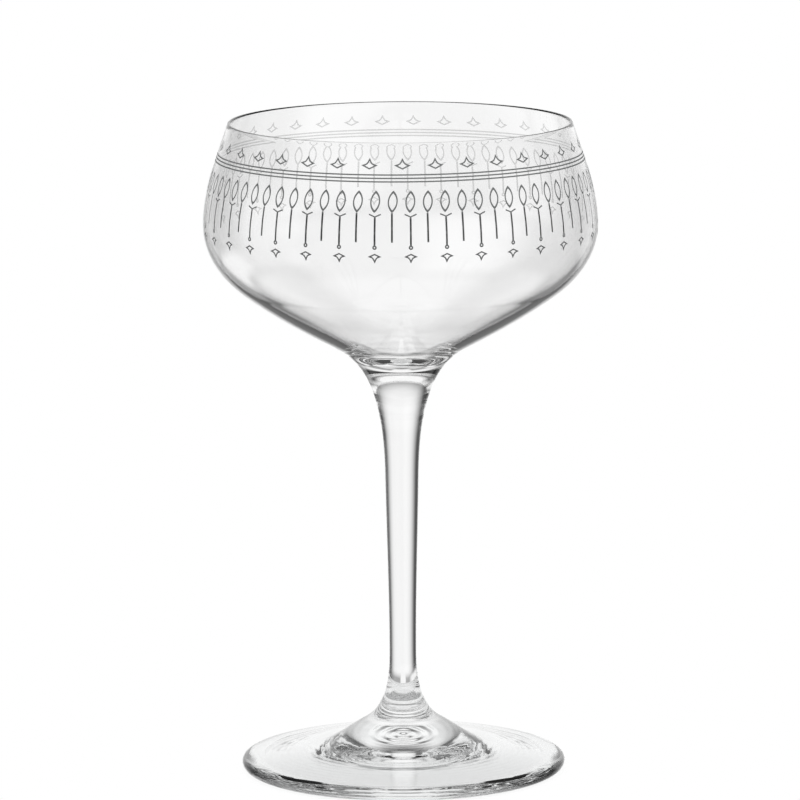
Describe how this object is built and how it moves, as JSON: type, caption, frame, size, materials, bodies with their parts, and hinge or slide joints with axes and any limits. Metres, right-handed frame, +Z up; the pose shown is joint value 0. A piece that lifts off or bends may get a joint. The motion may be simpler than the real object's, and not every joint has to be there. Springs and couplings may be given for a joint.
{
  "type": "stemmed cocktail glass",
  "caption": "Clear stemmed cocktail glass: a broad bowl that curves in to the rim, on a slender drawn stem and a round pressed foot, for short chilled drinks.",
  "frame": {"origin": "on the glass's axis, at the plane of the ring that stands on the table", "axes": "+Z up along the axis of the stem, towards the rim; the glass is round, so +X and +Y are free, and the picture looks along +Y"},
  "size_m": [0.0948, 0.0948, 0.158],
  "materials": {
    "clear_glass": "fire-polished",
    "etched_glass": "acid-etched matt line"
  },
  "bodies": {
    "root": {"bowl": "clear_glass", "stem": "clear_glass", "foot": "clear_glass"}
  },
  "joints": []
}
